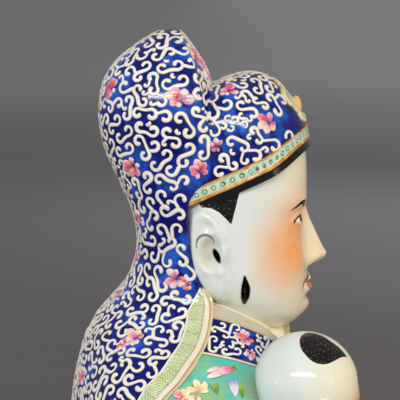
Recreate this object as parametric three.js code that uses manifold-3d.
// Porcelain bust of a bearded-age star god in a hooded hat, with a child's head against the chest.
// Millimetres, +Z up. The face looks along -Y, and the origin is on the flat underside.
import * as THREE from "three";
import { LoftGeometry } from "three/addons/geometries/LoftGeometry.js";
import { mergeVertices } from "three/addons/utils/BufferGeometryUtils.js";
import Module from "manifold-3d";

const wasm = await Module();
wasm.setup();

// Driving sizes of the head
const HAIRLINE = 175;
const CHIN = 84;
const THIRD = (HAIRLINE - CHIN) / 3;
const BROW = HAIRLINE - THIRD;
const NOSE_BASE = BROW - THIRD;
const MOUTH = NOSE_BASE - THIRD / 3;
const EYES = BROW - 7;
const NOSE = { rise: 11.2, bridge: EYES + 6, tip: NOSE_BASE + 4.6, under: 6 };

// The hat's band rises towards the forehead, and sweeps up a little more in front
const BAND_TILT = THREE.MathUtils.degToRad(24);
const BAND_CENTRE = { y: -15.4, z: 159 };
const BAND_SWEEP = 3.6;
const BAND = { low: 0, high: 7, lift: 0.9, endForward: -30 };
const HAIR = { low: -3, high: 0, lift: 0.2, endForward: -22 };

// The front lobe of the hat, measured square to the band
const LOBE = { wide: 38.4, front: 34.8, back: 34, middle: 2, tall: 47, square: 3.4 };

// The mantle stands off the robe, and ends in a rolled rim with a flat border behind it
const MANTLE_THICK = 3.2;
const RIM = 3.4;
const BORDER = 7;
const TUCK = 7;
const ROUND = 2.25;

// The lapels come from under the mantle and cross on the breast, the left one higher and outermost.
// Each top line falls by a power of the way round, and a plain under-collar stands above it.
const LAPEL = { top: 96.5, deep: 15, from: 1.35, shown: 6 };
const RIGHT_LAPEL = { side: -1, last: Math.PI + 0.35, fall: 46, bend: 1.9, lift: 1.6 };
const LEFT_LAPEL = { side: 1, last: Math.PI + 0.55, fall: 32, bend: 2.6, lift: 2.2 };
const NECK_HOLLOW = 6;

// The neck inside the collar: heights with the half width, the back and the front
const NECK = [
  [60, 30, 22, -25],
  [84, 29, 20, -27],
  [98, 27, 18, -27],
  [100, 25, 15, -25],
];

// The ear, and the holes that are pierced for hearing and for the beard
const EAR = { y: 0, z: 122.5, wide: 10.5, tall: 24.5, lean: 0.14, inside: 31, outside: 40 };
const EAR_HOLE = { y: -1.6, z: 124.6, wide: 1.8, tall: 2.2 };
const BEARD_HOLE = { y: -15.2, z: 106.8, wide: 2.1, tall: 7 };
const HOLE_DEPTH = 7;

// The plaque on the hat and the stone in its middle, with heights square to the band
const PLAQUE = { middle: 24, wide: 18, tall: 15, scallops: 5 };
const STONE = { forward: 35.9, up: 18.6, radii: new THREE.Vector3(4, 3, 4.6) };

// The child, and its jacket and neck as heights with the half width and half depth
const CHILD = { x: -52, y: -43.2, z: 64.2, radius: 25.2, yaw: THREE.MathUtils.degToRad(20) };
const CHILD_EAR = { out: 25, behind: 1, drop: 6, radii: new THREE.Vector3(3, 4.4, 6) };
const CHILD_ARM = { out: 20, behind: -7, z: 5, radii: new THREE.Vector3(9.5, 12, 18) };
const JACKET = [
  [-6, 27, 21],
  [6, 26.5, 20],
  [15, 25, 18],
  [22, 21, 15.5],
  [28, 15, 12.5],
  [34, 10.5, 10.5],
  [46, 9, 9],
];

// The robe's sleeves: the upper arms, and the right forearm that carries the child
const UPPER_ARM = { x: 61, y: -6, z: 6, radii: new THREE.Vector3(30, 31, 60) };
const FOREARM = { x: -46, y: -47, z: -3, radii: new THREE.Vector3(43, 19, 15), yaw: -0.32 };

// Heights of the drape with its half width, its back, its widest line and its front
const DRAPE = [
  [-6, 92, 72, 14, -43],
  [20, 91.5, 71.5, 14, -43],
  [40, 89, 70, 13, -42.5],
  [55, 84, 68.5, 12, -42],
  [68, 75, 66, 11, -41],
  [78, 64, 63, 10, -39.5],
  [87, 52, 58.5, 9, -37],
  [96, 42.5, 51, 8, -32],
  [105, 38, 43.5, 7, -26.5],
  [118, 37, 38.5, 7, -22],
  [130, 37.5, 38, 8, -20],
  [142, 38.3, 40.5, 10, -20],
  [155, 38.8, 46, 14, -22],
  [170, 39, 53, 17, -28],
  [185, 38.9, 56.2, 18, -32],
  [193, 38, 55.9, 19, -32],
  [201, 36, 55, 19, -32],
  [208, 33, 52.2, 20, -30],
  [215, 28.5, 47, 20, -24],
  [221, 23, 39.7, 20, -14],
  [225.5, 17, 33, 21, 0],
  [228.5, 10.5, 27.5, 21, 12],
  [229.8, 4, 24, 21, 17],
];

// Heights of the front edge of the mantle and hood, and how far back it lies
const EDGE = [
  [-6, 44],
  [20, 42],
  [40, 36],
  [55, 29],
  [64, 23.5],
  [70, 17],
  [77, 11],
  [83, 6],
  [90, 3],
  [101, 2],
  [107, 5],
  [114, 8],
  [125, 11.3],
  [135, 12.7],
  [145, 12.5],
  [155, 11],
  [170, 8],
  [232, 8],
];

// Heights of the head with its half width, its back, its widest line and its front
const HEAD = [
  [81, 6, -24, -30, -35],
  [85, 16, -16, -26, -40.5],
  [90, 25, -8, -20, -44],
  [96, 31, 2, -14, -45.5],
  [103, 35, 12, -9, -46],
  [111, 36.9, 20, -6, -45.8],
  [121, 37.3, 25, -5, -45.2],
  [131, 37.2, 26, -5, -45.4],
  [141, 37, 26, -5, -46],
  [151, 37.2, 26, -5, -46.4],
  [160, 37, 26, -5, -46.4],
  [170, 36, 25, -6, -45.6],
  [179, 32, 22, -8, -42.5],
  [188, 24, 16, -10, -36],
  [194, 8, 2, -14, -24],
];

// A smooth curve through the rows of a table, read at a height
function along(table, height) {
  const last = table.length - 1;
  let i = 0;
  while (i < last - 1 && height > table[i + 1][0]) i++;
  const row = (k) => table[Math.min(Math.max(k, 0), last)];
  const [before, low, high, after] = [row(i - 1), row(i), row(i + 1), row(i + 2)];
  const span = high[0] - low[0];
  const t = THREE.MathUtils.clamp((height - low[0]) / span, 0, 1);
  return low.slice(1).map((value, k) => {
    const slopeIn = (high[k + 1] - before[k + 1]) / Math.max(high[0] - before[0], span);
    const slopeOut = (after[k + 1] - low[k + 1]) / Math.max(after[0] - low[0], span);
    const held = (2 * t ** 3 - 3 * t ** 2 + 1) * value + (3 * t ** 2 - 2 * t ** 3) * high[k + 1];
    return held + span * ((t ** 3 - 2 * t ** 2 + t) * slopeIn + (t ** 3 - t ** 2) * slopeOut);
  });
}

const bell = (distance, width) => Math.exp(-((distance / width) ** 2));
const ease = (t) => THREE.MathUtils.smoothstep(t, 0, 1);
const power = (value, exponent) => Math.sign(value) * Math.abs(value) ** exponent;
const steps = (from, to, count) =>
  Array.from({ length: count + 1 }, (_, i) => from + ((to - from) * i) / count);

// A point on an egg-shaped level ring. The angle is 0 at the back and pi at the front.
function ringPoint([wide, back, middle, front], height, angle, side, lift) {
  const reach = angle < Math.PI / 2 ? back - middle : middle - front;
  return new THREE.Vector3(
    side * (wide + lift) * power(Math.sin(angle), 2 / ROUND),
    middle + (reach + lift) * power(Math.cos(angle), 2 / ROUND),
    height,
  );
}

// The angle at which a ring passes a given depth
function angleAt([, back, middle, front], y) {
  const reach = y > middle ? back - middle : middle - front;
  const share = THREE.MathUtils.clamp((y - middle) / reach, -1, 1);
  return Math.acos(power(share, ROUND / 2));
}

// How far a place of the middle plane lies above the lower line of the hat's band
function overBand(y, z) {
  return (y - BAND_CENTRE.y) * Math.sin(BAND_TILT) + (z - BAND_CENTRE.z) * Math.cos(BAND_TILT);
}

// The steep face of the hood's crown, which bulges a little between its two side creases
function crownFace(x, z) {
  return -4.4 + 0.27 * (z - 185) + 0.01 * Math.max(0, z - 200) ** 2 + 4 * (x / 27) ** 2;
}

// Soft folds of the mantle, which fade out on the neck and towards the edge
function mantleFold(angle, height) {
  const hang = ease((92 - height) / 50);
  return 1.3 * hang * Math.cos(angle * 7) * ease((1.5 - angle) / 0.5);
}

// The top line of a lapel at an angle round the robe
function lapelTop(lapel, angle) {
  const way = Math.max((angle - LAPEL.from) / (lapel.last - LAPEL.from), 0);
  return LAPEL.top - lapel.fall * way ** lapel.bend;
}

// The robe falls back to the neck above the higher of the two lapels that cross it there
function neckHollow(angle, height, side) {
  const [own, other] = side < 0 ? [RIGHT_LAPEL, LEFT_LAPEL] : [LEFT_LAPEL, RIGHT_LAPEL];
  const collar = Math.max(lapelTop(own, angle), lapelTop(other, 2 * Math.PI - angle));
  return -NECK_HOLLOW * ease((height - collar - 1) / 6);
}

// One side of a drape ring, from the middle of the back round to the middle of the front
function drapeSide(height, side) {
  const row = along(DRAPE, height);
  const [edgeY] = along(EDGE, height);
  const edge = angleAt(row, edgeY);
  const turn = Math.hypot(row[0] * Math.cos(edge), (row[1] - row[2]) * Math.sin(edge));
  const behind = (distance) => Math.max(edge - distance / turn, 0.02);
  const onHead = ease((height - 98) / 8);
  const rimLift = 0.8 * (1 - ease((height - 104) / 6));
  const border = BORDER * (1 - ease((height - 96) / 14));
  const start = behind(RIM + border);
  const drop = -MANTLE_THICK + (MANTLE_THICK - TUCK) * onHead;
  const parts = [
    ...steps(0, start, 8).map((angle) => [angle, mantleFold(angle, height)]),
    [behind(RIM), 0],
    [behind(RIM * 0.55), rimLift],
    [behind(RIM * 0.15), rimLift * 0.4],
    [edge + 0.4 / turn, drop * 0.8],
    ...steps(edge + 2 / turn, Math.PI, 8).map((angle) => [
      angle,
      drop + (1 - onHead) * neckHollow(angle, height, side),
    ]),
  ];
  return parts.map(([angle, lift]) => {
    const bare = ringPoint(row, height, Math.min(angle, Math.PI), side, 0);
    const inHat = ease((overBand(bare.y, height) - 0.5) / 4);
    const point = ringPoint(row, height, Math.min(angle, Math.PI), side, lift * (1 - inHat));
    if (height > 165) point.y = Math.max(point.y, crownFace(point.x, height));
    return point;
  });
}

// Joins two mirrored sides into one ring that runs anticlockwise seen from above
function ringOf(makeSide) {
  return [...makeSide(-1), ...makeSide(1).reverse().slice(1, -1)];
}

// A closed three.js geometry as a manifold solid
function solidOf(geometry) {
  const bare = new THREE.BufferGeometry();
  bare.setAttribute("position", geometry.getAttribute("position"));
  bare.setIndex(geometry.index);
  const merged = mergeVertices(bare, 1e-3);
  return new wasm.Manifold(
    new wasm.Mesh({
      numProp: 3,
      vertProperties: merged.attributes.position.array,
      triVerts: new Uint32Array(merged.index.array),
    }),
  );
}

// A loft through rings of points, closed at both ends by a fan about the middle of the ring
function loft(rings) {
  const wall = new LoftGeometry(rings);
  const positions = [...wall.getAttribute("position").array];
  const indices = [...wall.index.array];
  const columns = rings[0].length;
  const close = (ring, first, step) => {
    const middle = ring.reduce((sum, point) => sum.add(point), new THREE.Vector3());
    const tip = positions.length / 3;
    positions.push(...middle.divideScalar(columns));
    for (let i = 0; i < columns; i++) {
      const pair = [first + i, first + i + 1];
      indices.push(tip, ...(step > 0 ? pair : pair.reverse()));
    }
  };
  close(rings[0], 0, -1);
  close(rings.at(-1), (rings.length - 1) * (columns + 1), 1);
  const closed = new THREE.BufferGeometry();
  closed.setAttribute("position", new THREE.Float32BufferAttribute(positions, 3));
  closed.setIndex(indices);
  return solidOf(closed);
}

// Hood, mantle and robe as one skin
function makeDrape() {
  const heights = [-6, 20, 38, 50, 59, 66, 72, 78, 84, 90, 97, 104, 112, 122, 132, 141, 146];
  heights.push(149, 152, 155, 160, 168, 178, 188, 197, 205, 212, 218, 223, 227, 229.8);
  return loft(heights.map((height) => ringOf((side) => drapeSide(height, side))));
}

// Forward relief of the face, as soft bells about the thirds of the face
const FACE = [
  { out: 15, level: BROW + 2, wide: 11, tall: 4.5, rise: 1.2 },
  { out: 15.5, level: EYES + 1, wide: 9, tall: 6, rise: -2.4 },
  { out: 15.5, level: EYES, wide: 6.5, tall: 3.6, rise: 2 },
  { out: 21, level: NOSE_BASE + 2, wide: 12, tall: 12, rise: 2.4 },
  { out: 6, level: NOSE_BASE + 3.6, wide: 3.2, tall: 3.6, rise: 3.8 },
  { out: 0, level: MOUTH + 1, wide: 15, tall: 9, rise: 1.6 },
  { out: 0, level: MOUTH + 2.4, wide: 8, tall: 2, rise: 2.2 },
  { out: 0, level: MOUTH - 2.6, wide: 6.5, tall: 2.4, rise: 2.4 },
  { out: 0, level: MOUTH - 7, wide: 9, tall: 2.8, rise: -1.5 },
  { out: 0, level: CHIN + 8.5, wide: 9.5, tall: 6, rise: 3 },
];

// The nose is straight from bridge to tip and round underneath
function noseRelief(x, z) {
  const down = THREE.MathUtils.clamp((NOSE.bridge - z) / (NOSE.bridge - NOSE.tip), 0, 1);
  const below = Math.max(NOSE.tip - z, 0) / NOSE.under;
  const profile = down ** 1.15 * Math.sqrt(Math.max(1 - below ** 2, 0));
  return NOSE.rise * profile * bell(x, 4 + 2.4 * down);
}

function faceRelief(x, z) {
  const out = Math.abs(x);
  const bells = FACE.map((f) => f.rise * bell(out - f.out, f.wide) * bell(z - f.level, f.tall));
  return bells.reduce((sum, rise) => sum + rise, noseRelief(x, z));
}

function headSide(height, side) {
  const row = along(HEAD, height);
  const angles = steps(1, 0, 17).map((t) => Math.PI * (1 - t ** 1.6));
  return angles.map((angle) => {
    const point = ringPoint(row, height, angle, side, 0);
    const facing = ease((angle - 1.5) / 0.6);
    point.y -= facing * faceRelief(point.x, height);
    return point;
  });
}

function makeHead() {
  const heights = [...steps(81, 99, 5), ...steps(101.5, 122, 8), ...steps(125, 150, 8)];
  heights.push(157, 165, 173, 182, 194);
  return loft(heights.map((height) => ringOf((side) => headSide(height, side))));
}

// A point of the hat, from its forward and upward distances square to the band
function fromBand(x, forward, up) {
  const sweep = BAND_SWEEP * ease((forward - 12) / 20) * (1 - ease(up / 30));
  return new THREE.Vector3(
    x,
    BAND_CENTRE.y - forward * Math.cos(BAND_TILT) + up * Math.sin(BAND_TILT),
    BAND_CENTRE.z + forward * Math.sin(BAND_TILT) + up * Math.cos(BAND_TILT) + sweep,
  );
}

// Half of the lobe's outline at a height over the band, lifted by a little where asked
function lobeSide(up, side, lift, count) {
  const rise = Math.max(up, 0) / LOBE.tall;
  const scale = (1 - rise ** LOBE.square) ** (1 / LOBE.square);
  const brim = 2.5 * Math.max(0, 1 - Math.max(up, 0) / 15) ** 2;
  const crease = ease((up - 4) / 22);
  const back = 48 + (LOBE.back - 48) * crease;
  return steps(0, Math.PI, count).map((angle) => {
    const ahead = angle > Math.PI / 2;
    const reach = ahead ? LOBE.front * scale - brim + lift : back * scale;
    const exponent = ahead ? 1 : 0.22 + 0.43 * crease;
    const x = side * (LOBE.wide * scale + lift) * power(Math.sin(angle), exponent);
    return fromBand(x, LOBE.middle - reach * Math.cos(angle), up);
  });
}

function makeFrontLobe() {
  const heights = [-5, 0, 5, 11, 18, 25, 31, 36, 39.8, 42.6, 44.6, 45.7];
  return loft(heights.map((up) => ringOf((side) => lobeSide(up, side, 0, 14))));
}

// A flat moulding round the hat, open behind, where it runs into the hood
function makeHatBand({ low, high, lift, endForward }) {
  const trimmed = (up, side, extra) =>
    lobeSide(up, side, extra, 28).filter((p) => {
      const forward = (BAND_CENTRE.y - p.y) * Math.cos(BAND_TILT);
      return forward + (p.z - BAND_CENTRE.z) * Math.sin(BAND_TILT) > endForward;
    });
  const whole = (up, extra) => {
    const left = trimmed(up, -1, extra);
    return [...left, ...trimmed(up, 1, extra).reverse().slice(1)];
  };
  const lines = [
    whole(low, -3),
    whole(high, -3),
    whole(high, lift * 0.4),
    whole((low + high) / 2, lift),
    whole(low, lift * 0.4),
  ];
  const count = Math.min(...lines.map((line) => line.length));
  return loft(steps(0, count - 1, count - 1).map((i) => lines.map((line) => line[i])));
}

// The plaque on the front of the hat: a scalloped leaf-shaped plate that follows the lobe
function makePlaque() {
  const place = (angle, share, lift) => {
    const leaf = share * (0.9 + 0.12 * Math.cos(angle * PLAQUE.scallops));
    const x = PLAQUE.wide * leaf * Math.sin(angle);
    const up = PLAQUE.middle + PLAQUE.tall * leaf * Math.cos(angle);
    const rise = Math.max(up, 0) / LOBE.tall;
    const scale = (1 - Math.min(rise, 0.98) ** LOBE.square) ** (1 / LOBE.square);
    const bulge = LOBE.front * scale * Math.sqrt(1 - (x / (LOBE.wide * scale)) ** 2);
    return fromBand(x, LOBE.middle + bulge + lift, up);
  };
  const rings = [
    [0.5, -4],
    [1, -3],
    [1, 0.8],
    [0.82, 1.4],
    [0.45, 1],
  ].map(([share, lift]) => steps(Math.PI * 2, 0, 30).slice(1).map((a) => place(a, share, lift)));
  return loft(rings);
}

// A smooth egg, turned and placed
function makeEgg(centre, radii, columns, rows) {
  const egg = new THREE.SphereGeometry(1, columns, rows);
  egg.scale(radii.x, radii.y, radii.z);
  egg.translate(centre.x, centre.y, centre.z);
  return solidOf(egg);
}

// An ear is a tear-shaped cushion with a hollow shell and a long lobe
function makeEar(side) {
  const ring = (x, share) =>
    steps(0, Math.PI * 2, 24)
      .slice(1)
      .map((angle) => {
        const z = EAR.tall * share * Math.sin(angle);
        const wide = EAR.wide * share * (1 + 0.28 * Math.sin(angle));
        const y = side * wide * Math.cos(angle) + EAR.lean * z;
        return new THREE.Vector3(side * x, EAR.y + y, EAR.z + z);
      });
  const rings = [
    [EAR.inside, 1.02],
    [EAR.outside - 3.4, 1],
    [EAR.outside - 1.4, 0.95],
    [EAR.outside - 0.3, 0.86],
    [EAR.outside, 0.74],
  ].map(([x, share]) => ring(x, share));
  const shell = new THREE.Vector3(side * (EAR.outside + 1.4), EAR.y, EAR.z + 4);
  return loft(rings).subtract(makeEgg(shell, new THREE.Vector3(4.6, 7, 10.5), 16, 10));
}

function makePit(hole, side) {
  const pit = new THREE.CylinderGeometry(1, 0.8, HOLE_DEPTH * 2, 12);
  pit.rotateZ((-side * Math.PI) / 2);
  pit.scale(1, hole.wide, hole.tall);
  pit.translate(side * 36, hole.y, hole.z);
  return solidOf(pit);
}

// A flat band laid on the robe, between two lines given as heights for an angle round the robe
function makeStrap(side, last, topOf, bottomOf, lift) {
  const section = (angle) => {
    const fold = Math.PI - Math.abs(Math.PI - angle);
    const hand = angle > Math.PI ? -side : side;
    const [top, bottom] = [topOf(angle), bottomOf(angle)];
    const at = (height, rise) =>
      ringPoint(along(DRAPE, height), height, fold, hand, rise - MANTLE_THICK);
    return [
      at(top, -3),
      at(top, lift * 0.8),
      at((top + bottom) / 2, lift),
      at(bottom, lift * 0.8),
      at(bottom, -3),
    ];
  };
  const angles = steps(LAPEL.from, last, 16);
  return loft((side < 0 ? angles : angles.reverse()).map(section));
}

// A lapel comes from under the mantle, lies on the shoulder and crosses the breast
function makeLapel(lapel) {
  const topOf = (angle) => lapelTop(lapel, angle);
  return makeStrap(lapel.side, lapel.last, topOf, (angle) => topOf(angle) - LAPEL.deep, lapel.lift);
}

// The under-collar stands above the lapel and narrows towards the breast
function makeUnderCollar(lapel) {
  const last = Math.PI;
  const shown = (angle) => LAPEL.shown * (1 - ((angle - LAPEL.from) / (last - LAPEL.from)) * 0.7);
  const topOf = (angle) => lapelTop(lapel, angle) + shown(angle);
  return makeStrap(lapel.side, last, topOf, (angle) => topOf(angle) - 11, lapel.lift * 0.5);
}

// The neck, a plain column inside the collar
function makeNeck() {
  const ring = ([height, wide, back, front]) =>
    ringOf((side) =>
      steps(0, Math.PI, 12).map((a) => ringPoint([wide, back, -6, front], height, a, side, 0)),
    );
  return loft(NECK.map(ring));
}

// The child's head, with the face turned towards the middle of the bust
function childRelief(x, z) {
  const out = Math.abs(x);
  const cheeks = 1.6 * bell(out - 11, 7) * bell(z + 8, 7);
  const nose = 2.6 * bell(x, 2.8) * bell(z + 5.5, 3);
  const lips = 1.1 * bell(x, 4) * bell(z + 11.5, 1.8);
  const chin = 1.2 * bell(x, 5) * bell(z + 18, 4);
  return cheeks + nose + lips + chin;
}

function makeChildHead() {
  const ball = new THREE.SphereGeometry(CHILD.radius, 24, 18);
  ball.rotateX(Math.PI / 2);
  const place = ball.getAttribute("position");
  for (let i = 0; i < place.count; i++) {
    const [x, y, z] = [place.getX(i), place.getY(i), place.getZ(i)];
    place.setY(i, y - ease(-y / 8) * childRelief(x, z));
  }
  ball.rotateZ(CHILD.yaw);
  ball.translate(CHILD.x, CHILD.y, CHILD.z);
  return solidOf(ball);
}

// The child's neck and jacket, of round sections that follow the child's turn
function makeJacket() {
  const rings = JACKET.map(([z, wide, deep]) =>
    steps(0, Math.PI * 2, 20)
      .slice(1)
      .map((a) => fromChild(wide * Math.cos(a), deep * Math.sin(a), z)),
  );
  return loft(rings);
}

// A place given across and behind the child's middle line
function fromChild(across, behind, z) {
  const [c, s] = [Math.cos(CHILD.yaw), Math.sin(CHILD.yaw)];
  return new THREE.Vector3(CHILD.x + across * c - behind * s, CHILD.y + across * s + behind * c, z);
}

function makeChild() {
  const parts = [makeChildHead(), makeJacket()];
  for (const side of [-1, 1]) {
    const ear = fromChild(side * CHILD_EAR.out, CHILD_EAR.behind, CHILD.z - CHILD_EAR.drop);
    parts.push(makeEgg(ear, CHILD_EAR.radii, 8, 6));
    const arm = fromChild(side * CHILD_ARM.out, CHILD_ARM.behind, CHILD_ARM.z);
    parts.push(makeEgg(arm, CHILD_ARM.radii, 12, 8));
  }
  return parts.reduce((sum, part) => sum.add(part));
}

function makeSleeves() {
  const [right, left] = [-1, 1].map((side) => {
    const shoulder = new THREE.Vector3(side * UPPER_ARM.x, UPPER_ARM.y, UPPER_ARM.z);
    return makeEgg(shoulder, UPPER_ARM.radii, 18, 12);
  });
  const forearm = new THREE.SphereGeometry(1, 18, 10);
  forearm.scale(...FOREARM.radii.toArray());
  forearm.rotateZ(FOREARM.yaw);
  forearm.translate(FOREARM.x, FOREARM.y, FOREARM.z);
  return solidOf(forearm).add(right).add(left);
}

// The casting: every form joined, the holes pierced, and the foot cut flat
function makeBust() {
  const pieces = [
    makeFrontLobe(),
    makeHatBand(BAND),
    makeHatBand(HAIR),
    makePlaque(),
    makeEgg(fromBand(0, STONE.forward, STONE.up), STONE.radii, 12, 8),
    makeHead(),
    makeEar(-1),
    makeEar(1),
    makeNeck(),
    ...[RIGHT_LAPEL, LEFT_LAPEL].flatMap((lapel) => [makeLapel(lapel), makeUnderCollar(lapel)]),
    makeSleeves(),
    makeChild(),
  ];
  let bust = pieces.reduce((sum, piece) => sum.add(piece), makeDrape());
  for (const side of [-1, 1])
    for (const hole of [EAR_HOLE, BEARD_HOLE]) bust = bust.subtract(makePit(hole, side));
  const below = new THREE.BoxGeometry(400, 400, 40);
  below.translate(0, 0, -20);
  const shells = bust.subtract(solidOf(below)).decompose();
  return shells.sort((one, other) => other.volume() - one.volume())[0];
}

// A manifold solid as a three.js mesh
function meshOf(name, solid, colour) {
  const { numProp, numVert, vertProperties, triVerts } = solid.getMesh();
  const positions = new Float32Array(numVert * 3);
  for (let i = 0; i < numVert; i++)
    positions.set(vertProperties.subarray(i * numProp, i * numProp + 3), i * 3);
  const geometry = new THREE.BufferGeometry();
  geometry.setAttribute("position", new THREE.BufferAttribute(positions, 3));
  geometry.setIndex(new THREE.BufferAttribute(triVerts, 1));
  geometry.computeVertexNormals();
  const material = new THREE.MeshStandardMaterial({ color: colour, roughness: 0.15, metalness: 0 });
  const mesh = new THREE.Mesh(geometry, material);
  mesh.name = name;
  return mesh;
}

const figure = new THREE.Group();
figure.add(meshOf("fu_xing_bust", makeBust(), "#e8e6dc"));
export default figure;
